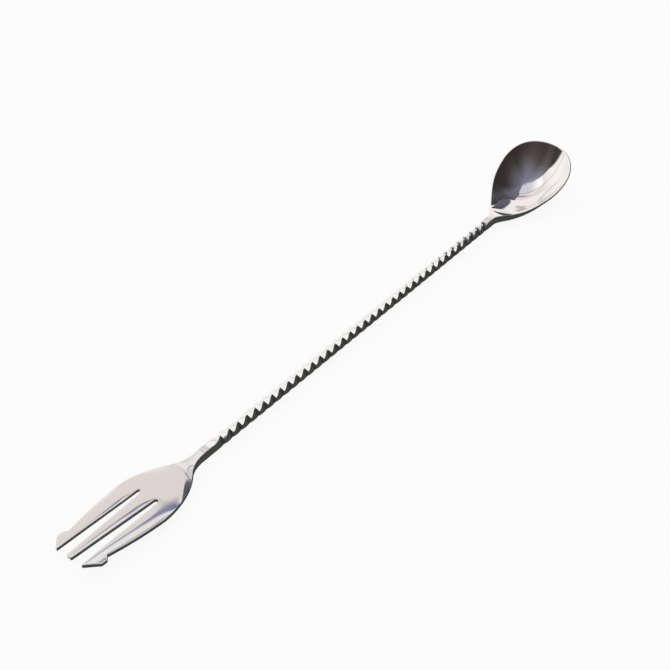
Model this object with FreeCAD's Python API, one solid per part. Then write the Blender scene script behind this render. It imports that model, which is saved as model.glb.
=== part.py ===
"""Bar spoon: a pressed teardrop spoon head and a three-tine fork head, welded to the two
ends of a twisted square bar.  Millimetres, +X from the fork to the spoon, +Z up.

Every piece is drawn along the axis of the bar, with x measured from the fork towards the
spoon.  At the end all of them are moved, so that the origin lies under the middle of the
whole length, on the surface that the bar spoon rests on.
"""
import FreeCAD, Part
import math
import os
from FreeCAD import Vector

# ---- driving dimensions ------------------------------------------------------------------
# the square bar that the stem is twisted from
bar_side = 3.0
half_side = bar_side / 2

# the twist, left-handed, eased in and out of the straight ends
twist_start = 59.0
quarter_turn_length = 4.127
quarter_turns = 37
twist_ease = 3.0

# the welded joints: bevelled ends butt in the middle and the bevels are filled
fork_joint = 56.5
spoon_joint = 216.5
bevel = 0.6

# the fork head
fork_half_width = 10.4
widest_at = 27.0
notch = (6.8, 7.75)
barb_back = (5.5, 9.0)
barb_front = (3.5, 8.95)
tips_at = -0.35
outer_tip_outside = 5.4
outer_tip_inside = 4.85
middle_tip_half_width = 1.0
slot_end = 31.5
slot_end_radius = 0.7
slot_end_offset = 3.4
blade_thickness = 1.2
blade_crown_radius = 130.0
blade_heights = ((-4.0, 2.4), (14.0, 1.8), (28.0, 1.3), (46.0, 0.45), (60.0, -0.35))
shoulder_foot, shoulder_datum = blade_heights[3]
shoulder_slope = 0.125
shoulder_blend = 2.0
shoulder_sag = 0.06

# the spoon head
bowl_tip = 260.9
bowl_widest_at = 249.0
bowl_half_width = 14.3
bowl_depth = 7.6
pressed_curvature = bowl_depth / bowl_half_width**2
back_curvature = pressed_curvature + 0.0012
pressing_start = 218.0
pressing_full = 238.0

reach = 40.0


# ---- the twisted stem --------------------------------------------------------------------
def twist_angle(x):
    """Turn of the section at x, in radians: slow at both ends, even between them."""
    rate = math.pi / 2 / quarter_turn_length
    twisted = quarter_turns * quarter_turn_length + twist_ease
    from_start = x - twist_start
    to_end = twisted - from_start
    if from_start < twist_ease:
        return -rate * from_start**2 / (2 * twist_ease)
    if to_end < twist_ease:
        return -rate * (twisted - twist_ease) + rate * to_end**2 / (2 * twist_ease)
    return -rate * (from_start - twist_ease / 2)


def twist_rate(x):
    """Change of the turn per millimetre, which gives the ridges their direction."""
    step = 0.001
    return (twist_angle(x + step) - twist_angle(x - step)) / (2 * step)


def ridge(y, z, stations):
    """The line that the corner (y, z) of the section draws along the twisted bar."""
    points = []
    tangents = []
    for x in stations:
        turn = twist_angle(x)
        point = Vector(
            x,
            y * math.cos(turn) - z * math.sin(turn),
            y * math.sin(turn) + z * math.cos(turn),
        )
        rate = twist_rate(x)
        points.append(point)
        tangents.append(Vector(1.0, -point.z * rate, point.y * rate))
    curve = Part.BSplineCurve()
    curve.interpolate(
        Points=points,
        Parameters=stations,
        Tangents=tangents,
        TangentFlags=[True] * len(points),
    )
    return curve


def ruled_face(first, second):
    """The straight-sided face between two ridges, which share their knots."""
    surface = Part.BSplineSurface()
    surface.buildFromPolesMultsKnots(
        [first.getPoles(), second.getPoles()],
        [2, 2],
        first.getMultiplicities(),
        [0.0, 1.0],
        first.getKnots(),
        False,
        False,
        1,
        first.Degree,
    )
    return surface.toShape()


def square(x, half):
    """A closed square wire across the axis at x."""
    corners = [Vector(x, y, z) for y, z in ((half, half), (-half, half), (-half, -half), (half, -half))]
    return Part.makePolygon(corners + corners[:1])


def square_bar(start, end):
    return Part.Face(square(start, half_side)).extrude(Vector(end - start, 0, 0))


def bevelled_end(joint, direction):
    """The last bevel of a bar end that faces along direction, +1 or -1, and stops at joint."""
    full = square(joint - direction * bevel, half_side)
    butt = square(joint, half_side - bevel)
    return Part.makeLoft([full, butt], True, True)


def twisted_stem():
    twisted = quarter_turns * quarter_turn_length
    ends = [twist_start, twist_start + twist_ease]
    stations = ends + [
        twist_start + twist_ease + quarter_turn_length * turn for turn in range(1, quarter_turns)
    ]
    stations += [twist_start + twisted, twist_start + twisted + twist_ease]
    corners = ((half_side, half_side), (-half_side, half_side), (-half_side, -half_side), (half_side, -half_side))
    ridges = [ridge(y, z, stations) for y, z in corners]
    faces = [ruled_face(ridges[side], ridges[(side + 1) % 4]) for side in range(4)]
    caps = [Part.Face(square(x, half_side)) for x in (stations[0], stations[-1])]
    shell = Part.makeShell(faces + caps)
    shell.sewShape()
    twist = Part.makeSolid(shell)
    pieces = [
        square_bar(fork_joint + bevel, stations[0]),
        square_bar(stations[-1], spoon_joint - bevel),
        bevelled_end(fork_joint, -1),
        bevelled_end(spoon_joint, 1),
    ]
    return twist.fuse(pieces)


# ---- pressed heads -----------------------------------------------------------------------
def pressed_surface(side_line, curvature_at):
    """A smooth sheet surface: the side line in X-Z, with a parabola across it at every x."""
    across = (-16.0, -8.0, 0.0, 8.0, 16.0)
    rows = [[Vector(x, y, z + curvature_at(x) * y * y) for y in across] for x, z in side_line]
    surface = Part.BSplineSurface()
    surface.interpolate(rows)
    return surface.toShape()


def mirrored_outline(half_edges):
    """A face in the X-Y plane from the edges of its +Y half, whose ends lie on the axis."""
    other = [edge.mirror(Vector(0, 0, 0), Vector(0, 1, 0)) for edge in half_edges]
    wire = Part.Wire(Part.__sortEdges__(half_edges + other))
    return Part.Face(wire)


def blank(outline):
    """The flat blank before pressing, tall enough to be cut by the pressed surfaces."""
    outline.translate(Vector(0, 0, -reach / 2))
    return outline.extrude(Vector(0, 0, reach))


def above(face):
    return face.extrude(Vector(0, 0, reach))


def below(face):
    return face.extrude(Vector(0, 0, -reach))


# ---- the spoon head ----------------------------------------------------------------------
def bowl_outline():
    """Half of the teardrop: neck, flaring flank and elliptical tip."""
    neck_start = Vector(spoon_joint + bevel, 0, 0)
    neck_side = Vector(spoon_joint + bevel, half_side, 0)
    flare_start = Vector(pressing_start, half_side, 0)
    widest = Vector(bowl_widest_at, bowl_half_width, 0)
    flank = Part.BSplineCurve()
    flank.interpolate(
        Points=[
            flare_start,
            Vector(222.5, 3.45, 0),
            Vector(229.0, 7.05, 0),
            Vector(236.0, 11.0, 0),
            Vector(242.5, 13.5, 0),
            widest,
        ],
        InitialTangent=Vector(1, 0, 0),
        FinalTangent=Vector(1, 0, 0),
    )
    tip = Vector(bowl_tip, 0, 0)
    end = Part.Ellipse(widest, tip, Vector(bowl_widest_at, 0, 0))
    end_edge = Part.Edge(end, end.parameter(widest), end.parameter(tip))
    if end_edge.Length > bowl_half_width * 2:
        end_edge = Part.Edge(end, end.parameter(tip), end.parameter(widest) + 2 * math.pi)
    return [
        Part.makeLine(neck_start, neck_side),
        Part.makeLine(neck_side, flare_start),
        flank.toShape(),
        end_edge,
    ]


def pressed_in(x):
    """How far the curve across the head has grown: 0 at the neck, 1 in the bowl."""
    t = min(max((x - pressing_start) / (pressing_full - pressing_start), 0.0), 1.0)
    return t * t * (3 - 2 * t)


def spoon_head():
    # side lines from the neck down into the bowl and up to its tip
    inside_line = [
        (214.0, half_side),
        (218.0, half_side - 0.1),
        (222.5, 0.9),
        (226.0, 0.1),
        (230.0, -0.8),
        (235.0, -1.75),
        (241.0, -1.95),
        (247.0, -0.5),
        (251.0, 1.85),
        (254.0, 4.9),
        (257.0, 8.8),
        (260.9, 14.4),
        (263.0, 17.5),
    ]
    back_line = [
        (214.0, -half_side),
        (218.0, -half_side),
        (222.5, -1.6),
        (226.0, -1.95),
        (230.0, -2.45),
        (235.0, -3.05),
        (241.0, -3.15),
        (247.0, -1.7),
        (251.0, 0.6),
        (254.0, 3.55),
        (257.0, 7.4),
        (260.9, 12.9),
        (263.0, 16.0),
    ]
    inside = pressed_surface(inside_line, lambda x: pressed_curvature * pressed_in(x))
    back = pressed_surface(back_line, lambda x: back_curvature * pressed_in(x))
    head = blank(mirrored_outline(bowl_outline()))
    head = head.cut(above(inside))
    head = head.cut(below(back))
    return head.fuse(bevelled_end(spoon_joint, -1))


# ---- the fork head -----------------------------------------------------------------------
def fork_outline():
    """Half of the fork's outline, without the slots: neck, shoulder, edge and barb."""
    neck_end = fork_joint - bevel
    flare_start = Vector(53.5, half_side, 0)
    flare_end = Vector(47.0, 3.3, 0)
    widest = Vector(widest_at, fork_half_width, 0)
    points = (notch, barb_back, barb_front, (tips_at, outer_tip_outside), (tips_at, 0.0))
    corners = [Vector(x, y, 0) for x, y in points]
    edges = [
        Part.makeLine(Vector(neck_end, 0, 0), Vector(neck_end, half_side, 0)),
        Part.makeLine(Vector(neck_end, half_side, 0), flare_start),
        Part.Arc(flare_start, Vector(49.7, 2.05, 0), flare_end).toShape(),
        Part.Arc(flare_end, Vector(38.2, 8.45, 0), widest).toShape(),
        Part.Arc(widest, Vector(16.5, 9.4, 0), corners[0]).toShape(),
    ]
    for start, end in zip(corners, corners[1:]):
        edges.append(Part.makeLine(start, end))
    return edges


def slot(side):
    """The gap between two tines: it widens to the tips and has a round end."""
    centre = slot_end - slot_end_radius
    outer_root = slot_end_offset + slot_end_radius
    inner_root = slot_end_offset - slot_end_radius
    open_end = tips_at - 2.0
    past_tips = (centre - open_end) / (centre - tips_at)
    outer_mouth = outer_root + (outer_tip_inside - outer_root) * past_tips
    inner_mouth = inner_root + (middle_tip_half_width - inner_root) * past_tips
    outer = Vector(centre, side * outer_root, 0)
    inner = Vector(centre, side * inner_root, 0)
    outer_open = Vector(open_end, side * outer_mouth, 0)
    inner_open = Vector(open_end, side * inner_mouth, 0)
    edges = [
        Part.makeLine(outer_open, outer),
        Part.Arc(outer, Vector(slot_end, side * slot_end_offset, 0), inner).toShape(),
        Part.makeLine(inner, inner_open),
        Part.makeLine(inner_open, outer_open),
    ]
    return blank(Part.Face(Part.Wire(edges)))


def over_shoulder():
    """The space over the ramp that runs from the neck's flat top down to the blade."""
    foot = Vector(shoulder_foot, 0, shoulder_datum)
    crest = Vector(shoulder_foot + (half_side - shoulder_datum) / shoulder_slope, 0, half_side)
    ramp = (crest - foot).normalize()
    arc_start = crest - ramp * shoulder_blend
    arc_end = crest + Vector(shoulder_blend, 0, 0)
    arc_middle = crest + (arc_end - arc_start).cross(Vector(0, 1, 0)).normalize() * -shoulder_sag
    far_down = foot - ramp * reach * 1.5
    profile = [
        Part.makeLine(far_down, arc_start),
        Part.Arc(arc_start, arc_middle, arc_end).toShape(),
        Part.makeLine(arc_end, Vector(reach * 1.5, 0, half_side)),
        Part.makeLine(Vector(reach * 1.5, 0, half_side), Vector(reach * 1.5, 0, reach)),
        Part.makeLine(Vector(reach * 1.5, 0, reach), Vector(far_down.x, 0, reach)),
        Part.makeLine(Vector(far_down.x, 0, reach), far_down),
    ]
    face = Part.Face(Part.Wire(profile))
    face.translate(Vector(0, -reach / 2, 0))
    return face.extrude(Vector(0, reach, 0))


def fork_head():
    crown = -1 / (2 * blade_crown_radius)
    under_line = [(x, z - blade_thickness) for x, z in blade_heights[:3]]
    under_line += [(44.0, -1.0), (51.0, -half_side), (60.0, -half_side)]
    head = blank(mirrored_outline(fork_outline()))
    for side in (1, -1):
        head = head.cut(slot(side))
    over_blade = above(pressed_surface(blade_heights, lambda x: crown))
    head = head.cut(over_blade.common(over_shoulder()))
    head = head.cut(below(pressed_surface(under_line, lambda x: crown)))
    return head.fuse(bevelled_end(fork_joint, 1))


# ---- the welds ---------------------------------------------------------------------------
def weld(joint):
    """Filler in the groove between two bevelled ends, ground flush with the bar."""
    groove = square_bar(joint - bevel, joint + bevel)
    return groove.cut([bevelled_end(joint, 1), bevelled_end(joint, -1)])


# ---- the assembly ------------------------------------------------------------------------
pieces = {
    "spoon_head": spoon_head(),
    "spoon_weld": weld(spoon_joint),
    "twisted_stem": twisted_stem(),
    "fork_weld": weld(fork_joint),
    "fork_head": fork_head(),
}
# the back of the bowl is the lowest point of the bar spoon and stands on the origin's plane
bowl_points, _ = pieces["spoon_head"].tessellate(0.02)
lowest = min(point.z for point in bowl_points)
to_origin = Vector(-(bowl_tip + tips_at) / 2, 0, -lowest)

os.makedirs("parts", exist_ok=True)
for name, piece in pieces.items():
    piece.translate(to_origin)
    piece.exportStep(f"parts/{name}.step")
    print(f"{name}: {piece.Volume:.1f} mm3, {len(piece.Solids)} solid, valid {piece.isValid()}")
print(f"the axis of the bar lies {-lowest:.2f} mm above the table")
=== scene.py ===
# %% [markdown]
# # A twisted bar spoon in polished steel
#
# A bar spoon is a long stirring spoon.  This one has three pieces of stainless steel: a
# pressed teardrop spoon head, a square bar that has been twisted, and a pressed fork head
# with three tines.  They are welded end to end and polished to a mirror.
#
# A mirror shows the smallest dent in a mesh, so each piece is worked out here from curves and
# formulas, with thousands of small faces, and never from a few big facets that are smoothed.
# The construction model gives the places and sizes, and it is loaded first.

# %% Load the construction model and note its size
import math

import bmesh
import bpy
import numpy as np
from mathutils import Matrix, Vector
from mathutils.geometry import delaunay_2d_cdt


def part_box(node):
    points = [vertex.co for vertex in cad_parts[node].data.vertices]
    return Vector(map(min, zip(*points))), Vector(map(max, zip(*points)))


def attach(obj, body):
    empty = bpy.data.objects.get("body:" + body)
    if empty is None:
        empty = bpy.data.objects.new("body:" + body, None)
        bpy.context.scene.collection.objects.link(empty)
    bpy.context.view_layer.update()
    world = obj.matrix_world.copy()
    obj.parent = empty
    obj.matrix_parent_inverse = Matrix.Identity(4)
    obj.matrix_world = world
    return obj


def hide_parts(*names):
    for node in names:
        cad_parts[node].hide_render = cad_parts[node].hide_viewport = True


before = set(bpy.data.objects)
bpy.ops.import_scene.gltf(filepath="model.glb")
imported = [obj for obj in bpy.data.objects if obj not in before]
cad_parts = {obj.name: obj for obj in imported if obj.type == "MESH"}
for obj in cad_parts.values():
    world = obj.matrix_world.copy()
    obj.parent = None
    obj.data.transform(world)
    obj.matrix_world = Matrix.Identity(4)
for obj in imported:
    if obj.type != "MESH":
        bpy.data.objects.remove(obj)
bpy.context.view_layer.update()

MM = 0.001
fork_low, fork_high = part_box("fork_head")
stem_low, stem_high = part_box("twisted_stem")
bowl_low, bowl_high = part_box("spoon_head")
print("nodes:", sorted(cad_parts))
print("whole length in mm:", round((bowl_high.x - fork_low.x) / MM, 2))

# %% [markdown]
# ## Measuring along the bar
#
# A silversmith measures such a piece along its bar, from a zero mark near the tips of the
# fork.  The same measure is used here: x runs from that mark to the spoon, y across and z up,
# all in millimetres from the middle of the bar.  The tips reach a little past the mark.  One
# function moves such a point to its place in the scene.

# %% From bench measures to the scene
TIP_REACH = 0.35
bench_origin = Vector((
    fork_low.x + TIP_REACH * MM,
    (stem_low.y + stem_high.y) / 2,
    (stem_low.z + stem_high.z) / 2,
))


def placed(points):
    """Bench points in millimetres, as an array of scene positions in metres."""
    return np.asarray(points, float) * MM + np.array(bench_origin)


FORK_JOINT = (fork_high.x - bench_origin.x) / MM
SPOON_JOINT = (stem_high.x - bench_origin.x) / MM
BOWL_TIP = (bowl_high.x - bench_origin.x) / MM
print("joints at", round(FORK_JOINT, 2), "and", round(SPOON_JOINT, 2), "mm")
print("bowl tip at", round(BOWL_TIP, 2), "mm")

# %% [markdown]
# ## Smooth lines through a few points
#
# A draughtsman bends a thin batten through a few pins to draw a fair curve.  A cubic spline
# is the same thing in numbers.  It is solved here for a list of points, so that side lines
# and outlines stay smooth enough for a mirror finish.  A second helper, smoothstep, fades
# something in or out between two places without a kink.

# %% The batten: a cubic spline
def batten(knots, values, start_slope=None, end_slope=None):
    """A function that gives the smooth value at any place between the first and last knot."""
    t = np.asarray(knots, float)
    v = np.asarray(values, float)
    if v.ndim == 1:
        v = v[:, None]
    gap = np.diff(t)[:, None]
    count = len(t)
    matrix = np.zeros((count, count))
    right = np.zeros_like(v)
    slopes = np.diff(v, axis=0) / gap
    for i in range(1, count - 1):
        matrix[i, i - 1 : i + 2] = gap[i, 0], 2 * (gap[i - 1, 0] + gap[i, 0]), gap[i - 1, 0]
        right[i] = 3 * (gap[i] * slopes[i - 1] + gap[i - 1] * slopes[i])
    for row, slope, chord in ((0, start_slope, slopes[0]), (-1, end_slope, slopes[-1])):
        neighbour = 1 if row == 0 else -2
        if slope is None:
            matrix[row, row], matrix[row, neighbour] = 2, 1
            right[row] = 3 * chord
        else:
            matrix[row, row] = 1
            right[row] = slope
    tangents = np.linalg.solve(matrix, right)

    def value(place):
        place = np.clip(np.asarray(place, float), t[0], t[-1])
        i = np.clip(np.searchsorted(t, place, side="right") - 1, 0, count - 2)
        h = gap[i, 0]
        u = ((place - t[i]) / h)[..., None]
        h = h[..., None]
        a, b = v[i], v[i + 1]
        m, n = tangents[i] * h, tangents[i + 1] * h
        out = (
            (2 * u**3 - 3 * u**2 + 1) * a
            + (u**3 - 2 * u**2 + u) * m
            + (3 * u**2 - 2 * u**3) * b
            + (u**3 - u**2) * n
        )
        return out[..., 0] if out.shape[-1] == 1 else out

    return value


def fair_outline(points, count, start=None, end=None):
    """Points along a fair curve in the plan view, evenly spread by length."""
    points = np.asarray(points, float)
    along = np.r_[0, np.cumsum(np.hypot(*np.diff(points, axis=0).T))]
    return batten(along, points, start, end)(np.linspace(0, along[-1], count))


def smoothstep(value, start, end):
    """0 before start, 1 after end, and an S-shaped rise in between."""
    t = np.clip((np.asarray(value, float) - start) / (end - start), 0, 1)
    return t * t * (3 - 2 * t)


print("batten test:", batten([0, 1, 2], [0, 1, 0])(0.5).round(3))

# %% [markdown]
# ## The camera
#
# The camera looks down on the spoon from the fork's side, at about 38 degrees.  It stands
# less than half a metre away with a mild telephoto lens, so that the fork looks a little
# larger than the bowl.  Its direction is given as a turn about the upright and a tilt, with
# no turn about its line of sight, so the camera has no roll.

# %% Camera
def look(name, place, azimuth, elevation, lens):
    """A camera at place whose view runs at azimuth degrees from +Y and down by elevation."""
    data = bpy.data.cameras.new(name)
    data.lens = lens
    data.sensor_width = 36.0
    data.clip_start = 0.01
    camera = bpy.data.objects.new(name, data)
    bpy.context.collection.objects.link(camera)
    camera.location = place
    camera.rotation_euler = (math.radians(90 - elevation), 0, math.radians(azimuth))
    return camera


camera_place = bench_origin + Vector((-161.7, -215.7, 280.7)) * MM
camera = look("view_camera", camera_place, azimuth=-52.65, elevation=37.8, lens=72.97)
bpy.context.scene.camera = camera
scene = bpy.context.scene
scene.view_settings.view_transform = "Standard"
print("camera to the middle of the spoon in mm:", round(camera.location.length / MM))

# %% [markdown]
# ## From points to a skin
#
# Each piece of metal is a closed skin.  Most of them are rows of points with four-sided faces
# between them, as in a net.  The helper below lays such a net, closes it, and lets bmesh
# weld the seams and turn all faces outwards.

# %% Net and skin helpers
def net(rows, columns, wrap=False, offset=0):
    """Four-sided faces between points that are numbered row by row."""
    across = columns if wrap else columns - 1
    i, j = np.meshgrid(np.arange(rows - 1), np.arange(across), indexing="ij")
    k = (j + 1) % columns
    corners = (i * columns + j, i * columns + k, (i + 1) * columns + k, (i + 1) * columns + j)
    return (np.stack(corners, axis=-1).reshape(-1, 4) + offset).tolist()


def skin(name, points, faces):
    """A smooth closed object from bench points, which stands for part of the CAD model."""
    mesh = bpy.data.meshes.new(name)
    mesh.from_pydata(placed(points).tolist(), [], faces)
    work = bmesh.new()
    work.from_mesh(mesh)
    bmesh.ops.remove_doubles(work, verts=work.verts, dist=1e-7)
    bmesh.ops.recalc_face_normals(work, faces=work.faces)
    open_edges = sum(1 for edge in work.edges if len(edge.link_faces) != 2)
    work.to_mesh(mesh)
    work.free()
    mesh.shade_smooth()
    piece = bpy.data.objects.new(name, mesh)
    bpy.context.collection.objects.link(piece)
    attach(piece, "root")
    print(name, len(mesh.vertices), "points,", len(mesh.polygons), "faces,", open_edges, "open edges")
    return piece


print("faces of a small net:", net(2, 3))

# %% [markdown]
# ## The twisted stem
#
# The stem is a square bar of 3 mm that was clamped at both ends and turned more than nine
# times.  Its four corners become four ridges like the strands of a rope.  Between two ridges
# the face stays straight across but turns with the bar.  A screw modifier could make such a
# twist, but it would start and stop at once.  Here the turn at every place comes from one
# function that eases in and out, and the section has corners that the polishing wheel has
# rounded.

# %% Section and turn of the bar
BAR_SIDE = 3.0
HALF_SIDE = BAR_SIDE / 2
CORNER_RADIUS = 0.3
TWIST_START = 59.0
QUARTER_TURN = 4.127
QUARTER_TURNS = 37
TWIST_EASE = 3.0
BEVEL = 0.6


def rounded_square(half, radius, across=12, round_steps=5):
    """Points (y, z) once around a square whose corners are rounded."""
    corner = np.radians(np.linspace(0, 90, round_steps + 1))
    side = np.linspace(-1, 1, across + 1)[1:-1] * (half - radius)
    points = []
    for turn in range(4):
        angle = math.radians(90 * turn)
        arc = np.c_[half - radius + radius * np.cos(corner), half - radius + radius * np.sin(corner)]
        flat = np.c_[-side, np.full(len(side), half)]
        quarter = np.r_[arc, flat]
        spin = np.array([[math.cos(angle), math.sin(angle)], [-math.sin(angle), math.cos(angle)]])
        points.append(quarter @ spin)
    return np.concatenate(points)


def bar_turn(x):
    """Turn of the bar in radians at x: none at the ends, even in between."""
    rate = math.pi / 2 / QUARTER_TURN
    length = QUARTER_TURNS * QUARTER_TURN + TWIST_EASE
    s = np.clip(np.asarray(x, float) - TWIST_START, 0, length)
    eased_in = s**2 / (2 * TWIST_EASE)
    even = s - TWIST_EASE / 2
    eased_out = length - TWIST_EASE - (length - s) ** 2 / (2 * TWIST_EASE)
    turned = np.where(length - s < TWIST_EASE, eased_out, even)
    return -rate * np.where(s < TWIST_EASE, eased_in, turned)


bar_section = rounded_square(HALF_SIDE, CORNER_RADIUS)
whole_turn = math.degrees(float(bar_turn(SPOON_JOINT)))
print("section points:", len(bar_section), "whole turn in degrees:", round(whole_turn))

# %% The stem's skin
STEM_STEP = 0.16


def swept_bar(stations, scales):
    """Rows of points: the section at each station, turned with the bar and scaled at bevels."""
    turn = bar_turn(stations)[:, None]
    y = bar_section[None, :, 0] * scales[:, None]
    z = bar_section[None, :, 1] * scales[:, None]
    x = np.repeat(stations[:, None], len(bar_section), axis=1)
    across = y * np.cos(turn) - z * np.sin(turn)
    up = y * np.sin(turn) + z * np.cos(turn)
    return np.stack([x, across, up], axis=-1)


def closed_bar(name, stations, scales):
    """A swept bar with a flat face at both ends."""
    rows = swept_bar(stations, scales)
    count, around = rows.shape[:2]
    faces = net(count, around, wrap=True)
    faces.append(list(range(around)))
    faces.append(list(range((count - 1) * around, count * around)))
    return skin(name, rows.reshape(-1, 3), faces)


BUTT_SCALE = (HALF_SIDE - BEVEL) / HALF_SIDE
stem_length = SPOON_JOINT - FORK_JOINT - 2 * BEVEL
stem_rows = np.linspace(FORK_JOINT + BEVEL, SPOON_JOINT - BEVEL, int(stem_length / STEM_STEP))
stem_stations = np.r_[FORK_JOINT, stem_rows, SPOON_JOINT]
stem_scales = np.r_[BUTT_SCALE, np.ones(len(stem_rows)), BUTT_SCALE]
stem = closed_bar("stem", stem_stations, stem_scales)
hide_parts("twisted_stem")

# %% [markdown]
# ## The two welds
#
# The heads are butted against the bar.  Both ends were bevelled first, and the groove around
# the joint was filled with weld, ground flush and polished over, so only a faint ring
# remains.  Each ring has its real three-sided section, and its surface is a hair fuller in
# the middle.

# %% Weld rings
WELD_FULLNESS = 0.004
WELD_ROWS = 13


def weld_ring(name, joint, node):
    """The filler ring around a joint: an outer band and the two sides of the groove."""
    band = np.linspace(-BEVEL, BEVEL, WELD_ROWS)
    fullness = 1 + WELD_FULLNESS * (1 - (band / BEVEL) ** 2)
    rows = swept_bar(joint + np.r_[0, band], np.r_[BUTT_SCALE, fullness])
    count, around = rows.shape[:2]
    faces = net(count, around, wrap=True)
    last = (count - 1) * around
    faces += [[j, (j + 1) % around, last + (j + 1) % around, last + j] for j in range(around)]
    ring = skin(name, rows.reshape(-1, 3), faces)
    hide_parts(node)
    return ring


fork_ring = weld_ring("fork_weld_ring", FORK_JOINT, "fork_weld")
spoon_ring = weld_ring("spoon_weld_ring", SPOON_JOINT, "spoon_weld")

# %% [markdown]
# ## The edge of a pressed head
#
# Both heads are sheet metal.  Their edges were cut square and then rolled over a polishing
# wheel, so in section each edge is a flat wall with a quarter-round above and below it.
# Where the sheet climbs towards its edge, the upper round turns through more than a quarter.
# The first helper gives such a section, and the second one fits it to the faces of a head.

# %% Section of a polished edge
def edge_section(top, top_slope, bottom, bottom_slope, radius, steps):
    """Points (inset, z) from the upper tangent point, around the edge, to the lower one."""
    def corner(z, slope, side):
        lean = math.atan(slope)
        reach = radius * math.sqrt(1 + slope * slope)
        centre = z - slope * radius - side * reach
        last = math.pi / 2 + side * lean
        angles = np.linspace(0, last, steps)
        return np.c_[radius - radius * np.cos(angles), centre + side * radius * np.sin(angles)]

    upper = corner(top, top_slope, 1)[::-1]
    lower = corner(bottom, bottom_slope, -1)
    return np.r_[upper, lower]


def polished_edge(point, out, surfaces, slopes, radius, steps):
    """Points around the edge at one station, bent so that they meet the two curved faces."""
    levels = [float(surface(*point)) for surface in surfaces]
    section = edge_section(levels[0], slopes[0], levels[1], slopes[1], radius, steps)
    plan = point - section[:, :1] * out
    heights = section[:, 1].copy()
    parts = slice(0, steps), slice(steps, None)
    for part, surface, level, slope in zip(parts, surfaces, levels, slopes):
        flat = level - slope * section[part, 0]
        heights[part] += surface(plan[part, 0], plan[part, 1]) - flat
    return np.c_[plan, heights]


print("edge of a flat sheet:", edge_section(1.0, 0.0, 0.0, 0.0, 0.3, 3).round(2).tolist())

# %% [markdown]
# ## The spoon head
#
# The spoon head was cut as a flat teardrop and pressed into a die.  Its shape follows from
# three drawings: the outline from above, the line down the middle of the inside, and the
# curve across.  The curve across starts flat at the neck and deepens into the bowl.
# Sculpting or subdividing a rough cage would leave soft dents that a mirror shows at once,
# so the height at every point is worked out from the three drawings.

# %% Drawings of the bowl
NECK_START = SPOON_JOINT + BEVEL
BOWL_WIDEST_AT = 249.0
BOWL_HALF_WIDTH = 14.3
SIDE_RISE = 7.6
BOWL_CURVATURE = SIDE_RISE / BOWL_HALF_WIDTH**2
THINNING = 0.0012
BACK_CURVATURE = BOWL_CURVATURE + THINNING
PRESSING_START = 218.0
PRESSING_END = 238.0
inside_line = np.array([
    (214.0, 1.5), (218.0, 1.4), (222.5, 0.9), (226.0, 0.1), (230.0, -0.8), (235.0, -1.75),
    (241.0, -1.95), (247.0, -0.5), (251.0, 1.85), (254.0, 4.9), (257.0, 8.8), (260.9, 14.4),
    (263.0, 17.5),
])
back_line = np.array([
    (214.0, -1.5), (218.0, -1.5), (222.5, -1.6), (226.0, -1.95), (230.0, -2.45), (235.0, -3.04),
    (241.0, -3.135), (247.0, -1.7), (251.0, 0.6), (254.0, 3.55), (257.0, 7.4), (260.9, 12.9),
    (263.0, 16.0),
])
inside_height = batten(inside_line[:, 0], inside_line[:, 1], 0.0)
back_height = batten(back_line[:, 0], back_line[:, 1], 0.0)


def pressed_in(x):
    """How far the curve across has grown at x, from 0 at the neck to 1 in the bowl."""
    return smoothstep(x, PRESSING_START, PRESSING_END)


def bowl_inside(x, y):
    return inside_height(x) + BOWL_CURVATURE * pressed_in(x) * y * y


def bowl_back(x, y):
    return back_height(x) + BACK_CURVATURE * pressed_in(x) * y * y


bowl_depth = bowl_inside(BOWL_WIDEST_AT, BOWL_HALF_WIDTH) - inside_line[:, 1].min()
print("depth of the bowl under its widest rim:", round(float(bowl_depth), 2))

# %% Half of the bowl's outline: along the neck and the flank and round the tip
neck_x = np.arange(NECK_START, PRESSING_START - 0.05, 0.2)
neck_side = np.c_[neck_x, np.full(len(neck_x), HALF_SIDE)]
flank_points = [
    (PRESSING_START, HALF_SIDE), (222.5, 3.45), (229.0, 7.05), (236.0, 11.0), (242.5, 13.5),
    (BOWL_WIDEST_AT, BOWL_HALF_WIDTH),
]
flank = fair_outline(flank_points, 180, (1.0, 0.0), (1.0, 0.0))
tip_angle = np.radians(np.linspace(90, 0, 121)[1:])
tip_arc = np.c_[
    BOWL_WIDEST_AT + (BOWL_TIP - BOWL_WIDEST_AT) * np.cos(tip_angle),
    BOWL_HALF_WIDTH * np.sin(tip_angle),
]
bowl_edge = np.r_[neck_side, flank, tip_arc]
print("outline stations:", len(bowl_edge))

# %% Ribs across the bowl
RIM_RADIUS = 0.3
RIM_STEPS = 7
TOP_STEPS = 56
BACK_STEPS = 40
SPINE_TURN_AT = 240.0
SPINE_STRETCH = 24.0


def outward(edge):
    """Unit directions in plan that point out of the metal, for an edge with metal on its right."""
    along = np.gradient(edge, axis=0)
    along /= np.linalg.norm(along, axis=1)[:, None]
    return np.c_[-along[:, 1], along[:, 0]]


def slope_along(height, points, directions):
    """Rise of a height function at points per millimetre along directions in plan."""
    step = 0.01
    ahead = points + directions * step
    behind = points - directions * step
    return (height(ahead[:, 0], ahead[:, 1]) - height(behind[:, 0], behind[:, 1])) / (2 * step)


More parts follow.
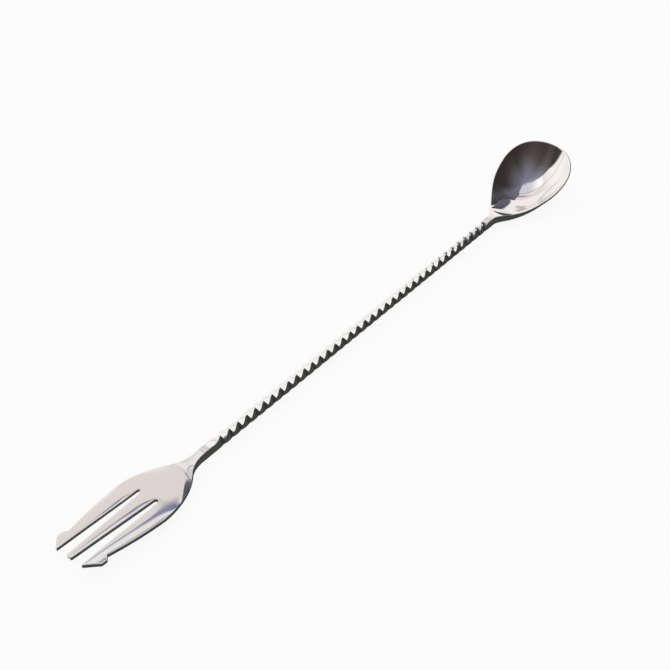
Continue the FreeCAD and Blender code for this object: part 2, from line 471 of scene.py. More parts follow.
def half_ribs(edge, out, top, back, radius):
    """For each station one rib: from the spine over the top, around the edge, back to the spine."""
    past = np.maximum(edge[:, 0] - SPINE_TURN_AT, 0)
    gathered = SPINE_TURN_AT + SPINE_STRETCH * (1 - np.exp(-past / SPINE_STRETCH))
    spine_x = np.where(past > 0, gathered, edge[:, 0])
    top_slope = slope_along(top, edge, out)
    back_slope = slope_along(back, edge, out)
    ribs = []
    for i, point in enumerate(edge):
        slopes = top_slope[i], back_slope[i]
        rim = polished_edge(point, out[i], (top, back), slopes, radius, RIM_STEPS)
        spine = np.array([spine_x[i], 0.0])
        rows = []
        for surface, target, steps in ((top, rim[0], TOP_STEPS), (back, rim[-1], BACK_STEPS)):
            t = np.linspace(0, 1, steps, endpoint=False)[:, None]
            line = spine + (target[:2] - spine) * t
            rows.append(np.c_[line, surface(line[:, 0], line[:, 1])])
        ribs.append(np.r_[rows[0], rim, rows[1][::-1]])
    return np.array(ribs)


bowl_out = outward(bowl_edge)
bowl_out[:4] = 0.0, 1.0
bowl_out[-1] = 1.0, 0.0
near_ribs = half_ribs(bowl_edge, bowl_out, bowl_inside, bowl_back, RIM_RADIUS)
print("ribs:", near_ribs.shape)

# %% The spoon head's skin
def mirrored_head(name, ribs, joint):
    """Both halves of a head from the ribs of one, with its bevelled end towards the bar."""
    bevel_end = ribs[0].copy()
    bevel_end[:, 0] = joint
    bevel_end[:, 1:] *= BUTT_SCALE
    half = np.concatenate([bevel_end[None], ribs])
    count, along = half.shape[:2]
    other = half * np.array([1, -1, 1])
    points = np.r_[half.reshape(-1, 3), other.reshape(-1, 3)]
    faces = net(count, along) + net(count, along, offset=count * along)
    loop = list(range(along)) + [count * along + j for j in range(along - 2, 0, -1)]
    faces.append(loop)
    return skin(name, points, faces)


spoon = mirrored_head("spoon", near_ribs, SPOON_JOINT)
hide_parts("spoon_head")

# %% [markdown]
# ## The fork head
#
# The fork head was cut from sheet too: a palm that flares from the neck, two slots that leave
# three tines, and a barb on the outside of each outer tine.  Its outline is drawn once for
# one side and mirrored.  Real corners never stay needle sharp, because the wheel wears them,
# so every corner gets a small arc, and the long curves are left alone.

# %% Outline of the fork
OUTLINE_STEP = 0.05
OUTLINE_SPACING = 0.13
OUTLINE_SOFTNESS = 0.05
CORNER_RADIUS_IN_PLAN = 0.22
SMOOTH_JOIN = math.radians(8)
SLOT_END = 31.5
SLOT_RADIUS = 0.7
SLOT_OFFSET = 3.4


def three_point_arc(start, middle, end):
    """Points on the circle through three points, from the first to the last."""
    (ax, ay), (bx, by), (cx, cy) = start, middle, end
    d = 2 * (ax * (by - cy) + bx * (cy - ay) + cx * (ay - by))
    a, b, c = ax * ax + ay * ay, bx * bx + by * by, cx * cx + cy * cy
    centre = np.array([
        (a * (by - cy) + b * (cy - ay) + c * (ay - by)) / d,
        (a * (cx - bx) + b * (ax - cx) + c * (bx - ax)) / d,
    ])
    spokes = np.array([start, middle, end], float) - centre
    angles = np.unwrap(np.arctan2(spokes[:, 1], spokes[:, 0]))
    radius = np.hypot(*spokes[0])
    count = max(3, int(abs(angles[2] - angles[0]) * radius / OUTLINE_STEP))
    t = np.linspace(angles[0], angles[2], count)
    return centre + radius * np.c_[np.cos(t), np.sin(t)]


def straight(start, end):
    start, end = np.array(start, float), np.array(end, float)
    count = max(2, int(np.hypot(*(end - start)) / OUTLINE_STEP))
    return start + (end - start) * np.linspace(0, 1, count)[:, None]


def rounded_run(lines, radius):
    """Joins lines end to end, with a small arc wherever two of them meet at a corner."""
    run = lines[0]
    for line in lines[1:]:
        corner = line[0]
        arriving = (run[-1] - run[-2]) / np.hypot(*(run[-1] - run[-2]))
        leaving = (line[1] - line[0]) / np.hypot(*(line[1] - line[0]))
        turn = math.acos(float(np.clip(arriving @ leaving, -1, 1)))
        if turn < SMOOTH_JOIN:
            run = np.r_[run, line[1:]]
            continue
        cut = radius * math.tan(turn / 2)
        towards_centre = (leaving - arriving) / np.hypot(*(leaving - arriving))
        centre = corner + towards_centre * radius / math.cos(turn / 2)
        start, end = corner - arriving * cut, corner + leaving * cut
        arc = three_point_arc(start, centre - towards_centre * radius, end)
        before = run[np.hypot(*(run - corner).T) > cut * 1.02]
        after = line[np.hypot(*(line - corner).T) > cut * 1.02]
        run = np.r_[before, arc, after]
    return run


slot_centre = SLOT_END - SLOT_RADIUS
slot_side = slot_centre, SLOT_OFFSET + SLOT_RADIUS
slot_other_side = slot_centre, SLOT_OFFSET - SLOT_RADIUS
barb = [(6.8, 7.75), (5.5, 9.0), (3.5, 8.95), (-TIP_REACH, 5.4), (-TIP_REACH, 4.85), slot_side]
fork_half_outline = rounded_run([
    straight((FORK_JOINT - BEVEL, HALF_SIDE), (53.5, HALF_SIDE)),
    three_point_arc((53.5, HALF_SIDE), (49.7, 2.05), (47.0, 3.3)),
    three_point_arc((47.0, 3.3), (38.2, 8.45), (27.0, 10.4)),
    three_point_arc((27.0, 10.4), (16.5, 9.4), (6.8, 7.75)),
    *[straight(*ends) for ends in zip(barb, barb[1:])],
    three_point_arc(slot_side, (SLOT_END, SLOT_OFFSET), slot_other_side),
    straight(slot_other_side, (-TIP_REACH, 1.0)),
    straight((-TIP_REACH, 1.0), (-TIP_REACH, 0.0)),
], CORNER_RADIUS_IN_PLAN)


def evened(line, softness, spacing):
    """The line at an even spacing, with the slight kinks between its parts averaged away."""
    keep = np.r_[True, np.hypot(*np.diff(line, axis=0).T) > 1e-6]
    line = line[keep]
    along = np.r_[0, np.cumsum(np.hypot(*np.diff(line, axis=0).T))]
    fine = np.linspace(0, along[-1], int(along[-1] / (OUTLINE_STEP / 2)))
    dense = np.c_[np.interp(fine, along, line[:, 0]), np.interp(fine, along, line[:, 1])]
    reach = int(4 * softness / (OUTLINE_STEP / 2))
    weights = np.exp(-0.5 * (np.arange(-reach, reach + 1) * OUTLINE_STEP / 2 / softness) ** 2)
    head = 2 * dense[0] - dense[reach:0:-1]
    tail = dense[-2 : -reach - 2 : -1] * np.array([1, -1])
    padded = np.r_[head, dense, tail]
    weights /= weights.sum()
    smooth = np.stack([np.convolve(padded[:, i], weights, "valid") for i in (0, 1)], axis=-1)
    count = int(along[-1] / spacing)
    return smooth[np.linspace(0, len(smooth) - 1, count).round().astype(int)]


fork_side = evened(fork_half_outline, OUTLINE_SOFTNESS, OUTLINE_SPACING)
print("outline points of one side:", len(fork_side), "widest:", fork_side[:, 1].max().round(2))

# %% [markdown]
# ## The fork's upper and lower faces
#
# The blade was pressed between two dies, so it is crowned: highest along its middle, with
# edges that fall away.  The tines were pressed a little rounder than the palm.  Towards the
# bar the sheet thickens, and the top climbs to the bar as a short ramp that meets the blade
# in a shallow valley.  The valley runs a little slanted on the near side, and the edges of
# the palm beside it were ground down by hand, more on the near side than on the far one.
# These heights again come from formulas, because a flat sheet with a bevel would reflect the
# room like a window pane.

# %% Heights of the fork
BLADE_THICKNESS = 1.2
PALM_SLOPE = 0.056
TINE_SLOPE = 0.03
blade_height = batten(
    [-4.0, 14.0, 28.0, 46.0, 60.0], [2.4, 1.8, 1.3, 0.45, -0.35], -TINE_SLOPE, -PALM_SLOPE
)
SHOULDER_FOOT = 46.0
SHOULDER_SLOPE = 0.125
CREST_BLEND = 0.05
VALLEY_BLEND = 0.12
SHOULDER_SLANT = 0.3
SLANT_REACH = 6.0
CREST_DROP = CREST_BLEND / 40
TINES_END = 24.0
PALM_START = 33.0
GRIND_SLOPE = 0.2
GRIND_BLEND = 0.5
GRIND_FULL_AT = 38.0
GRIND_FADES = (44.5, 49.5)
FAR_SIDE_SHARE = 0.3
MIDDLE_BAND = 0.8
UNDER_FLATTENS = (46.0, 53.0)
UNDER_ALLOWANCE = 0.3
SLOPE_ENDS = 50.0
PALM_CURVE = 1 / (2 * 130.0)
TINE_CURVE = 1 / (2 * 22.0)


def soft_max(a, b, blend):
    return (a + b + np.sqrt((a - b) ** 2 + blend**2)) / 2


def soft_min(a, b, blend):
    return (a + b - np.sqrt((a - b) ** 2 + blend**2)) / 2


outer_tine_middle = batten([-1.0, 6.9, 20.0, 31.6, 40.0], [6.3, 6.3, 7.1, 7.25, 7.25])


def crown(x, y):
    """How far the crowned face has fallen at (x, y), for the palm and for each tine."""
    palm = PALM_CURVE * y * y
    away = np.where(np.abs(y) < SLOT_OFFSET, np.abs(y), np.abs(y) - outer_tine_middle(x))
    tine = TINE_CURVE * away * away
    return palm + tine * (1 - smoothstep(x, TINES_END, PALM_START))


# half width of the palm and the neck, from the outline beyond the slots
palm_side = fork_side[fork_side[:, 0] > PALM_START]
palm_side = palm_side[np.argsort(palm_side[:, 0])]
grind_width = batten([33.0, 38.0, 42.0, 46.0, 52.0], [0.8, 1.7, 3.1, 2.6, 0.6])


def ground_away(x, y):
    """How far the grinding wheel has taken the palm's edges down at (x, y)."""
    half = np.interp(x, palm_side[:, 0], palm_side[:, 1])
    into = grind_width(x) - half + np.abs(y)
    fall = GRIND_SLOPE * soft_max(into, 0.0, GRIND_BLEND)
    near = 1 - smoothstep(y, -MIDDLE_BAND, MIDDLE_BAND)
    share = FAR_SIDE_SHARE + (1 - FAR_SIDE_SHARE) * near
    return share * fall * smoothstep(x, PALM_START, GRIND_FULL_AT) * (1 - smoothstep(x, *GRIND_FADES))


def fork_top(x, y):
    x, y = np.asarray(x, float), np.asarray(y, float)
    blade = blade_height(x) - crown(x, y)
    foot = SHOULDER_FOOT - SHOULDER_SLANT * np.clip(-y, 0, SLANT_REACH)
    ramp = blade_height(SHOULDER_FOOT) + SHOULDER_SLOPE * (x - foot)
    neck = soft_min(ramp, HALF_SIDE - CREST_DROP, CREST_BLEND)
    return soft_max(blade, neck, VALLEY_BLEND) - ground_away(x, y)


under_x = np.array([-4.0, 14.0, 28.0, 38.0, 44.0, 51.0, 60.0])
under_z = np.r_[blade_height(under_x[:4]) - BLADE_THICKNESS, -1.0, -HALF_SIDE, -HALF_SIDE]
under_line = batten(under_x, under_z, None, 0.0)


def fork_under(x, y):
    x, y = np.asarray(x, float), np.asarray(y, float)
    flat_from, flat_to = UNDER_FLATTENS
    fall = PALM_CURVE * y * y * (1 - smoothstep(x, flat_from, flat_to))
    lowest = -HALF_SIDE - UNDER_ALLOWANCE * (1 - smoothstep(x, SLOPE_ENDS, flat_to))
    return np.maximum(under_line(x) - fall, lowest)


widest = [fork_top(30.0, across).round(3) for across in (0.0, 9.5)]
print("blade middle and edge at the widest place:", *widest)

# %% The fork's edge strip
TINE_EDGE_RADIUS = 0.2
PALM_EDGE_RADIUS = 0.27
EDGE_GROWS = (24, 36)
PAST_SLOTS = 40
EDGE_STEPS = 6
fork_loop = np.r_[fork_side, (fork_side * np.array([1, -1]))[-2::-1]]
fork_out = -outward(fork_loop)
fork_out[:3] = 0.0, 1.0
fork_out[-3:] = 0.0, -1.0


def edge_strip(loop, out, top, under, radius, steps):
    """Rows of points around a polished edge, one row for each station of the outline."""
    top_slope = slope_along(top, loop, out)
    under_slope = slope_along(under, loop, out)
    strip = []
    for i, point in enumerate(loop):
        slopes = top_slope[i], under_slope[i]
        strip.append(polished_edge(point, out[i], (top, under), slopes, radius[i], steps))
    return np.array(strip)


outer_side = np.abs(fork_loop[:, 1]) > SLOT_OFFSET + 2
past_slots = fork_loop[:, 0] > PAST_SLOTS
beside_palm = smoothstep(fork_loop[:, 0], *EDGE_GROWS) * np.where(past_slots, 1, outer_side)
fork_radii = TINE_EDGE_RADIUS + (PALM_EDGE_RADIUS - TINE_EDGE_RADIUS) * beside_palm
fork_strip = edge_strip(fork_loop, fork_out, fork_top, fork_under, fork_radii, EDGE_STEPS)
print("edge strip:", fork_strip.shape)

# %% [markdown]
# ## Filling a face inside its edge
#
# The faces of the fork are not rows and columns, because of the slots.  A Delaunay
# triangulation fills them: it joins the points of the edge and a field of inner points with
# triangles that are as even as possible, and it leaves the slots open.  The inner points lie
# closer together at the valley, where the face turns quickly.

# %% Filling the fork's faces
FIELD_STEP = 0.45
FIELD_CLEARANCE = 0.25
VALLEY_STEP = 0.14
VALLEY_START = 43.0
VALLEY_CLEARANCE = 0.1
ROW_RATIO = 0.87
BATCH = 500
NECK_POINTS = 14


def inside_loop(points, loop):
    """Which plan points lie inside a closed loop."""
    x, y = points[:, 0][:, None], points[:, 1][:, None]
    ax, ay = loop[:, 0][None], loop[:, 1][None]
    bx, by = np.roll(ax, -1, axis=1), np.roll(ay, -1, axis=1)
    crosses = (ay > y) != (by > y)
    with np.errstate(divide="ignore", invalid="ignore"):
        where = ax + (y - ay) * (bx - ax) / (by - ay)
    return (np.sum(crosses & (x < where), axis=1) % 2) == 1


def field(loop, step, low, high, clearance):
    """A staggered field of points inside the loop between two stations, clear of its edge."""
    xs = np.arange(low, high, step * ROW_RATIO)
    ys = np.arange(loop[:, 1].min(), loop[:, 1].max(), step)
    points = np.array([(x, y + step / 2 * (i % 2)) for i, x in enumerate(xs) for y in ys])
    points = points[inside_loop(points, loop)]
    keep = []
    for start in range(0, len(points), BATCH):
        part = points[start : start + BATCH]
        apart = part[:, None] - loop[None]
        gap = np.min(np.hypot(apart[..., 0], apart[..., 1]), axis=1)
        keep.append(part[gap > clearance])
    return np.concatenate(keep)


def filled(loop, height):
    """Points and triangles of a face: the loop's points come first, in their order."""
    inner = np.r_[
        field(loop[:, :2], FIELD_STEP, -TIP_REACH, VALLEY_START, FIELD_CLEARANCE),
        field(loop[:, :2], VALLEY_STEP, VALLEY_START + 0.1, FORK_JOINT, VALLEY_CLEARANCE),
    ]
    plan = np.r_[loop[:, :2], inner]
    ring = [(i, (i + 1) % len(loop)) for i in range(len(loop))]
    done = delaunay_2d_cdt([Vector(p) for p in plan], ring, [], 1, 1e-7)
    same = {new: old[0] for new, old in enumerate(done[3]) if old}
    points = np.c_[inner, height(inner[:, 0], inner[:, 1])]
    triangles = [[same[v] for v in face] for face in done[2]]
    return points, triangles


def neck_line(start, end, height):
    """Points across the neck's end, between the two ends of the edge strip."""
    t = np.linspace(0, 1, NECK_POINTS)[1:-1, None]
    line = start[:2] + (end[:2] - start[:2]) * t
    return np.c_[line, height(line[:, 0], line[:, 1])]


def fork_skin(name, strip, top, under, joint):
    """The closed fork: edge strip, two filled faces, bevelled end and butt face."""
    count, around = strip.shape[:2]
    top_cross = neck_line(strip[-1, 0], strip[0, 0], top)
    under_cross = neck_line(strip[-1, -1], strip[0, -1], under)
    top_loop = np.r_[strip[:, 0], top_cross]
    under_loop = np.r_[strip[:, -1], under_cross]
    top_inner, top_faces = filled(top_loop, top)
    under_inner, under_faces = filled(under_loop, under)
    points = [strip.reshape(-1, 3), top_cross, top_inner, under_cross, under_inner]
    starts = np.cumsum([0] + [len(p) for p in points])
    strip_index = np.arange(count * around).reshape(count, around)
    top_index = np.r_[strip_index[:, 0], np.arange(starts[1], starts[3])]
    under_index = np.r_[strip_index[:, -1], np.arange(starts[3], starts[5])]
    faces = net(count, around)
    faces += [[int(top_index[v]) for v in face] for face in top_faces]
    faces += [[int(under_index[v]) for v in face] for face in under_faces]
    # the end of the neck: once around the section, then the bevel and the butt face
    rim = np.r_[
        strip_index[0],
        np.arange(starts[3], starts[4])[::-1],
        strip_index[-1][::-1],
        np.arange(starts[1], starts[2]),
    ]
    everything = np.concatenate(points)
    butt = everything[rim] * np.array([0, BUTT_SCALE, BUTT_SCALE]) + np.array([joint, 0, 0])
    first = len(everything)
    size = len(rim)
    for j in range(size):
        k = (j + 1) % size
        faces.append([int(rim[j]), int(rim[k]), first + k, first + j])
    faces.append(list(range(first, first + size)))
    return skin(name, np.r_[everything, butt], faces)


fork = fork_skin("fork", fork_strip, fork_top, fork_under, FORK_JOINT)
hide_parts("fork_head")

# %% [markdown]
# ## Polished steel
#
# A mirror finish on stainless steel is still not perfect.  Buffing leaves very fine lines
# along the piece, and handling leaves a faint haze in patches.  The material is a plain
# metal with a low roughness.  Noise that is stretched along the bar makes the lines, and soft
# noise makes the haze.  Both are small, because the shapes and what they reflect make most of
# the look.

# %% Polished steel
def node(nodes, kind, inputs):
    """A shader node of one kind with some of its inputs set."""
    fresh = nodes.new("ShaderNode" + kind)
    for socket, value in inputs.items():
        fresh.inputs[socket].default_value = value
    return fresh


def steel(name, colour, warm, roughness, haze, line_height, line_scale):
    """A buffed metal: colour patches, haze in the roughness, and fine lines in the bump."""
    material = bpy.data.materials.new(name)
    material.use_nodes = True
    nodes, links = material.node_tree.nodes, material.node_tree.links
    shader = nodes["Principled BSDF"]
    shader.inputs["Metallic"].default_value = 1.0
    place = nodes.new("ShaderNodeTexCoord")

    def noise(scale, stretch, detail):
        mapping = node(nodes, "Mapping", {"Scale": stretch})
        texture = node(nodes, "TexNoise", {"Scale": scale, "Detail": detail})
        links.new(place.outputs["Object"], mapping.inputs["Vector"])
        links.new(mapping.outputs["Vector"], texture.inputs["Vector"])
        return texture.outputs["Fac"]

    patches = nodes.new("ShaderNodeValToRGB")
    for i, (position, shade) in enumerate(((0.35, colour), (0.65, warm))):
        patches.color_ramp.elements[i].position = position
        patches.color_ramp.elements[i].color = (*shade, 1)
    links.new(noise(90.0, (1, 1, 1), 2), patches.inputs["Fac"])
    links.new(patches.outputs["Color"], shader.inputs["Base Color"])

    rough = node(nodes, "MapRange", {"From Min": 0.4, "From Max": 0.75})
    rough.inputs["To Min"].default_value = roughness
    rough.inputs["To Max"].default_value = haze
    links.new(noise(240.0, (0.35, 1, 1), 4), rough.inputs["Value"])
    links.new(rough.outputs["Result"], shader.inputs["Roughness"])

    bump = node(nodes, "Bump", {"Distance": line_height, "Strength": 1.0})
    links.new(noise(line_scale, (0.04, 1, 1), 3), bump.inputs["Height"])
    links.new(bump.outputs["Normal"], shader.inputs["Normal"])
    return material


polished_steel = steel(
    "polished_steel", colour=(0.82, 0.815, 0.81), warm=(0.84, 0.83, 0.815),
    roughness=0.035, haze=0.09, line_height=0.0000004, line_scale=1500.0,
)
weld_steel = steel(
    "weld_steel", colour=(0.80, 0.79, 0.78), warm=(0.77, 0.76, 0.745),
    roughness=0.12, haze=0.18, line_height=0.000001, line_scale=4000.0,
)
for piece in (stem, spoon, fork):
    piece.data.materials.append(polished_steel)
for piece in (fork_ring, spoon_ring):
    piece.data.materials.append(weld_steel)
for node_name, node_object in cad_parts.items():
    finish = weld_steel if "weld" in node_name else polished_steel
    for material_slot in node_object.material_slots:
        material_slot.material = finish
print("materials:", [m.name for m in bpy.data.materials if m.users])

# %% [markdown]
# ## The table and the studio
#
# The table and the background are white.  They show white to the camera and in the metal,
# while the table keeps a soft shadow.

# %% White table and background
TABLE_HALF = 3.0
TABLE_GLOW = 0.9
PAPER_WHITE = 0.9
TENT_LIGHT = 0.8


def made(name, points, faces, material):
    """A plain object of the studio: its points, its faces and one material."""
    mesh = bpy.data.meshes.new(name)
    mesh.from_pydata(points, [], faces)
    mesh.materials.append(material)
    stage_object = bpy.data.objects.new(name, mesh)
    bpy.context.collection.objects.link(stage_object)
    return stage_object


def seen_directly(nodes, links):
    """1 for rays from the camera and for mirrored or refracted rays, 0 for diffuse light."""
    path = nodes.new("ShaderNodeLightPath")
    total = path.outputs["Is Camera Ray"]
    for other in ("Is Glossy Ray", "Is Transmission Ray"):
        add = nodes.new("ShaderNodeMath")
        add.operation = "MAXIMUM"
        links.new(total, add.inputs[0])
        links.new(path.outputs[other], add.inputs[1])
        total = add.outputs[0]
    return total


def blank(name):
    """A material without any node yet, its nodes and its links."""
    material = bpy.data.materials.new(name)
    material.use_nodes = True
    material.node_tree.nodes.clear()
    return material, material.node_tree.nodes, material.node_tree.links


def white_paper():
    """White paper that glows to the eye and takes shadows from the studio's light."""
    material, nodes, links = blank("white_table")
    paper = node(nodes, "BsdfDiffuse", {"Color": (PAPER_WHITE, PAPER_WHITE, PAPER_WHITE, 1)})
    glow = node(nodes, "Emission", {"Color": (1, 1, 1, 1)})
    share = node(nodes, "Math", {1: TABLE_GLOW})
    share.operation = "MULTIPLY"
    mix = nodes.new("ShaderNodeMixShader")
    output = nodes.new("ShaderNodeOutputMaterial")
    links.new(seen_directly(nodes, links), share.inputs[0])
    links.new(share.outputs[0], mix.inputs[0])
    links.new(paper.outputs[0], mix.inputs[1])
    links.new(glow.outputs[0], mix.inputs[2])
    links.new(mix.outputs[0], output.inputs["Surface"])
    return material


corners = [(x * TABLE_HALF, y * TABLE_HALF, 0) for x, y in ((-1, -1), (1, -1), (1, 1), (-1, 1))]
table = made("table", corners, [(0, 1, 2, 3)], white_paper())

world = bpy.data.worlds.new("white_tent")
scene.world = world
world.use_nodes = True
world_nodes, world_links = world.node_tree.nodes, world.node_tree.links
world_nodes.clear()
tent_mix = world_nodes.new("ShaderNodeMixShader")
tent_output = world_nodes.new("ShaderNodeOutputWorld")
world_links.new(seen_directly(world_nodes, world_links), tent_mix.inputs[0])
for socket, level in ((1, TENT_LIGHT), (2, 1)):
    backdrop = node(world_nodes, "Background", {"Color": (level, level, level, 1)})
    world_links.new(backdrop.outputs[0], tent_mix.inputs[socket])
world_links.new(tent_mix.outputs[0], tent_output.inputs["Surface"])
print("table half width in m:", TABLE_HALF)

# %% [markdown]
# ## The tent that the steel mirrors
#
# A mirror has no look of its own: it shows what stands around it.  Silverware is photographed
# in a tent of cloth, with a bright panel on one side and dark cloth on the other, so that
# every edge gets a light or a dark line.  This tent is a dome.  Its far side is a white panel
# with two grey seams, and its near side, behind the camera, is dark cloth that turns from
# warm brown low down to bluish grey overhead.  A dark cloth also covers the near half of the
# table, up to just beyond the bar, and a small white card hangs above the stem.  A picture of
# a room could be wrapped around the scene instead, but a painted dome needs no picture and
# every line of it can be moved.
#
# The near wall of the bowl mirrors the far wall, so light is mirrored twice there.  The dome
# shows a second, simpler painting to such light.  It is a painted reflection: its white panel
# reaches further round, so the near wall shows white where the first painting, mirrored
# twice, would show dark cloth.
#
# Only mirrored rays meet these things.  They throw no shadow and no light on the table, and
# the camera looks through them, so the white background stays white from every side.

# %% Paint for the tent
STEEL_SHARE = 0.82


def paint(*code):
    """Linear light that the steel, which returns about four fifths of it, shows as this code."""
    code = np.array(code) / 255
    linear = np.where(code <= 0.04045, code / 12.92, ((code + 0.055) / 1.055) ** 2.4)
    return linear / STEEL_SHARE


def graded(value, stops):
    """Paint that changes with a value: stops are pairs of a value and a colour code."""
    places = [place for place, code in stops]
    paints = np.array([paint(*code) for place, code in stops])
    return np.stack([np.interp(value, places, paints[:, i]) for i in range(3)], axis=-1)


def blended(first, second, share):
    """Two paints mixed, with a share of the second that changes from place to place."""
    return first + (second - first) * np.asarray(share)[..., None]


dark_cloth = [
    (0, (58, 62, 57)), (30, (48, 44, 41)), (42, (54, 44, 40)), (52, (62, 56, 56)),
    (60, (80, 77, 82)), (68, (90, 92, 102)), (76, (100, 101, 115)), (90, (122, 124, 143)),
]
cool_cloth = [
    (24, (60, 56, 57)), (34, (76, 70, 79)), (41, (95, 94, 106)), (52, (102, 103, 118)),
    (75, (116, 117, 130)), (90, (128, 130, 148)),
]
left_cloth = [
    (30, (54, 45, 42)), (36, (62, 52, 48)), (41, (80, 73, 72)), (46, (97, 94, 98)),
    (55, (115, 112, 128)), (76, (120, 120, 144)), (90, (124, 126, 146)),
]
spilled_light = [
    (25, (62, 59, 61)), (30, (60, 54, 54)), (36, (98, 94, 98)), (45, (130, 128, 137)),
    (70, (138, 141, 155)), (90, (130, 132, 150)),
]
print("darkest cloth:", paint(*dark_cloth[1][1]).round(3))

# %% The white panel and its two seams
lower_panel = [(18, (242, 238, 235)), (32, (221, 213, 210)), (46, (218, 210, 207))]
lower_panel_left = [
    (12, (236, 231, 227)), (22, (246, 242, 237)), (34, (240, 237, 232)), (46, (222, 219, 216)),
]
upper_panel = [(46, (232, 229, 228)), (54, (226, 223, 224)), (60, (206, 204, 209)), (90, (206, 205, 214))]
upper_panel_left = [
    (30, (254, 251, 247)), (54, (252, 249, 244)), (61, (238, 233, 236)), (68, (216, 211, 217)),
    (90, (206, 205, 214)),
]
wide_seam = [
    (10, 46.4, 50.6), (30, 46.4, 51), (36, 46, 50.6), (39, 45.8, 49.6), (42, 45.6, 48.4),
    (45, 45.4, 47.2), (49, 45, 46.4), (56, 44.6, 45.2), (180, 44, 44),
]
thin_seam = [(10, 57), (30, 57), (42, 56), (60, 54), (76, 48), (90, 42), (100, 37), (110, 27), (120, 14)]
panel_right_edge = [
    (0, -16), (10, -14), (17, 16), (31, 18.5), (49, 17.5), (55, 20), (61, 13), (68, 10.5),
    (75, 9), (90, 0),
]
panel_left_edge = [(0, 112), (20, 118), (27, 123), (34, 129), (55, 130), (67, 124), (76, 116), (90, 100)]


# arcs around the tent in degrees: where they start, where they end, how softly
COOL_ARC = (-18, 60, 14)
LEFT_ARC = (60, 205, 25)
SPILL_ARC = (60, 148, 14)
PANEL_TURNS_LEFT = (58, 96)
PANEL_TOP = (79, 88)
WIDE_SEAM_COLOUR = (116, 123, 150)
WIDE_SEAM_ENDS = (46, 58)
WIDE_SEAM_SOFTNESS = 0.6
PANEL_STEP_SOFTNESS = 0.8
THIN_SEAM_COLOUR = (122, 118, 122)
THIN_SEAM_WIDTH = 1.3
DIM_FROM = 60


def between(value, low, high, softness):
    """1 between two edges and 0 outside them, soft over a few degrees."""
    rise = smoothstep(value, low - softness, low + softness)
    return rise * (1 - smoothstep(value, high - softness, high + softness))


def counted_from_right(azimuth):
    """The azimuth counted from -60 to 300, so that the whole panel is one stretch."""
    return (azimuth + 60) % 360 - 60


def tent_colour(azimuth, elevation):
    """The tent's paint at a direction in degrees from the spoon; azimuth 0 is along the bar."""
    around = counted_from_right(azimuth)
    cloth = graded(elevation, dark_cloth)
    for arc, stops in ((COOL_ARC, cool_cloth), (LEFT_ARC, left_cloth), (SPILL_ARC, spilled_light)):
        cloth = blended(cloth, graded(elevation, stops), between(around, *arc))
    to_left = smoothstep(around, *PANEL_TURNS_LEFT)
    lower = blended(graded(elevation, lower_panel), graded(elevation, lower_panel_left), to_left)
    upper = blended(graded(elevation, upper_panel), graded(elevation, upper_panel_left), to_left)
    seam_azimuth, seam_foot, seam_head = zip(*wide_seam)
    foot = np.interp(around, seam_azimuth, seam_foot)
    head = np.interp(around, seam_azimuth, seam_head)
    step = smoothstep(elevation, foot - PANEL_STEP_SOFTNESS, head + PANEL_STEP_SOFTNESS)
    panel = blended(lower, upper, step)
    wide = between(elevation, foot, head, WIDE_SEAM_SOFTNESS)
    wide = wide * (1 - smoothstep(around, *WIDE_SEAM_ENDS))
    thin_at = np.interp(around, *zip(*thin_seam))
    thin = np.exp(-(((elevation - thin_at) / THIN_SEAM_WIDTH) ** 2))
    thin = thin * (0.8 - 0.25 * smoothstep(around, DIM_FROM, 105))
    panel = blended(panel, paint(*WIDE_SEAM_COLOUR), wide)
    panel = blended(panel, paint(*THIN_SEAM_COLOUR), thin)
    right = np.interp(elevation, *zip(*panel_right_edge))
    left = np.interp(elevation, *zip(*panel_left_edge))
    softness = 1.5 + 8 * smoothstep(elevation, 55, 85)
    panel_share = between(around, right, left, softness)
    panel_share = panel_share * (1 - smoothstep(elevation, *PANEL_TOP))
    return blended(cloth, panel, panel_share)


# painted reflection for light mirrored twice: a wider white panel than the first painting's, with one
# thin seam
painted_reflection_right_edge = [(0, -12), (50, -22), (56, -10), (62, -7), (69, -8), (73, -12), (90, -12)]
painted_reflection_seam = [
    (15, 56), (22, 53), (30, 47), (37, 43), (44, 36), (52, 34), (62, 42), (80, 50), (95, 50),
]
PAINTED_REFLECTION_SEAM_WIDTH = 4.0
PAINTED_REFLECTION_LEFT_EDGE = 135
PAINTED_REFLECTION_SOFTNESS = 3.0


def twice_mirrored_painted_reflection(azimuth, elevation):
    """Painted reflection for light mirrored twice in the bowl: a bright panel with a thin seam."""
    around = counted_from_right(azimuth)
    cloth = graded(elevation, dark_cloth)
    seam_at = np.interp(around, *zip(*painted_reflection_seam))
    seam = np.exp(-(((elevation - seam_at) / PAINTED_REFLECTION_SEAM_WIDTH) ** 2))
    seam = seam * (0.8 - 0.5 * smoothstep(around, 50, 90))
    seam = seam * smoothstep(around, 12, 20)
    panel = blended(paint(236, 231, 230), paint(126, 124, 134), seam) / STEEL_SHARE
    right = np.interp(elevation, *zip(*painted_reflection_right_edge))
    return blended(cloth, panel, between(around, right, PAINTED_REFLECTION_LEFT_EDGE, PAINTED_REFLECTION_SOFTNESS))


for test_azimuth in (45.0, -90.0):
    print("paint at", test_azimuth, tent_colour(np.array(test_azimuth), np.array(40.0)).round(2))

# %% The dome, the dark cloth on the table and the white card
TENT_RADIUS = 4.0
TENT_STEP = 0.75
MORE_THAN_ONCE = 1.5
DARK_CLOTH_REACH = 1.5
CLOTH_HEM = 0.005
HEM_WIDTH = 0.0025
DARK_CLOTH_LIFT = 0.0001
CLOTH_COLOUR = (62, 68, 62)
HEM_COLOUR = (232, 230, 228)
CANOPY_COLOUR = (243, 241, 239)
CANOPY_HEIGHT = 0.016
CANOPY_ALONG = (66.0, 200.0)
CANOPY_ACROSS = (-0.006, 0.011)


def only_mirrored(stage_object):
    """Lets a thing of the studio be met by mirrored rays and by nothing else."""
    stage_object.visible_camera = False
    stage_object.visible_diffuse = False
    stage_object.visible_transmission = False
    stage_object.visible_volume_scatter = False
    stage_object.visible_shadow = False


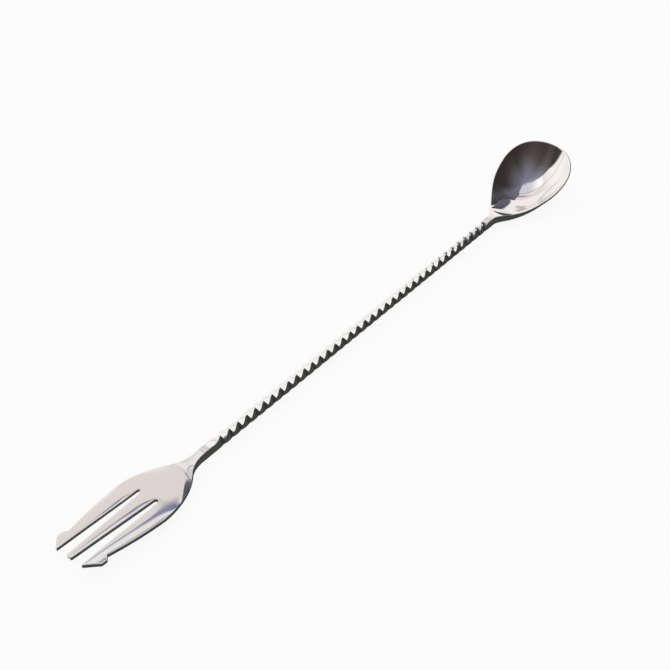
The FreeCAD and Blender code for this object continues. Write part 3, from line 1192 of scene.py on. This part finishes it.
def glowing(name):
    """A material that sends out light of its own, and the node that sets its colour."""
    material, nodes, links = blank(name)
    glow = nodes.new("ShaderNodeEmission")
    output = nodes.new("ShaderNodeOutputMaterial")
    links.new(glow.outputs[0], output.inputs["Surface"])
    return material, glow


def painted_layer(mesh, layer, paints, nodes):
    """Stores one paint for each point of a mesh and gives the socket that reads it."""
    colours = mesh.color_attributes.new(layer, "FLOAT_COLOR", "POINT")
    colours.data.foreach_set("color", np.c_[paints, np.ones(len(paints))].ravel())
    stored = nodes.new("ShaderNodeVertexColor")
    stored.layer_name = layer
    return stored.outputs["Color"]


def tent_dome():
    """The dome, with one painting for light mirrored once and a painted reflection for light mirrored
    twice.
    """
    azimuth = np.arange(-180.0, 180.0, TENT_STEP)
    elevation = np.append(np.arange(0.0, 90.0, TENT_STEP), 89.9)
    e, a = np.meshgrid(elevation, azimuth, indexing="ij")
    ring = np.cos(np.radians(e)) * TENT_RADIUS
    x, y = ring * np.cos(np.radians(a)), ring * np.sin(np.radians(a))
    points = np.stack([x, y, np.sin(np.radians(e)) * TENT_RADIUS], axis=-1).reshape(-1, 3)
    material, glow = glowing("tent_cloth")
    dome = made("tent", points.tolist(), net(len(elevation), len(azimuth), wrap=True), material)
    nodes, links = material.node_tree.nodes, material.node_tree.links
    # light mirrored more than once meets the second painting, a painted reflection
    path = nodes.new("ShaderNodeLightPath")
    twice = node(nodes, "Math", {1: MORE_THAN_ONCE})
    twice.operation = "GREATER_THAN"
    mix = nodes.new("ShaderNodeMixRGB")
    links.new(path.outputs["Ray Depth"], twice.inputs[0])
    links.new(twice.outputs[0], mix.inputs["Fac"])
    links.new(mix.outputs["Color"], glow.inputs["Color"])
    for socket, layer, colour_at in (
        ("Color1", "mirrored_once", tent_colour),
        ("Color2", "mirrored_twice", twice_mirrored_painted_reflection),
    ):
        painted = colour_at(a, e).reshape(-1, 3)
        links.new(painted_layer(dome.data, layer, painted, nodes), mix.inputs[socket])
    only_mirrored(dome)
    return dome


def dark_table_cloth():
    """The cloth lies on the near half of the table; its hem is just beyond the bar."""
    across = [-DARK_CLOTH_REACH, CLOTH_HEM - HEM_WIDTH, CLOTH_HEM]
    points = [(x, y, DARK_CLOTH_LIFT) for y in across for x in (-DARK_CLOTH_REACH, DARK_CLOTH_REACH)]
    material, glow = glowing("dark_table_cloth")
    cloth = made("dark_table_cloth", points, [(0, 1, 3, 2), (2, 3, 5, 4)], material)
    painted = np.array([paint(*CLOTH_COLOUR)] * 4 + [paint(*HEM_COLOUR)] * 2)
    stored = painted_layer(cloth.data, "cloth", painted, material.node_tree.nodes)
    material.node_tree.links.new(stored, glow.inputs["Color"])
    only_mirrored(cloth)
    return cloth


def white_canopy():
    """A small white card above the twisted part of the bar, parallel to the table."""
    low_x, high_x = placed([(x, 0, 0) for x in CANOPY_ALONG])[:, 0]
    near_y, far_y = CANOPY_ACROSS
    corners = [(low_x, near_y), (high_x, near_y), (high_x, far_y), (low_x, far_y)]
    material, glow = glowing("canopy_card")
    glow.inputs["Color"].default_value = (*paint(*CANOPY_COLOUR), 1)
    card = made("canopy", [(x, y, CANOPY_HEIGHT) for x, y in corners], [(0, 1, 2, 3)], material)
    only_mirrored(card)
    return card


tent = tent_dome()
table_cloth = dark_table_cloth()
canopy = white_canopy()
print("tent faces:", len(tent.data.polygons))
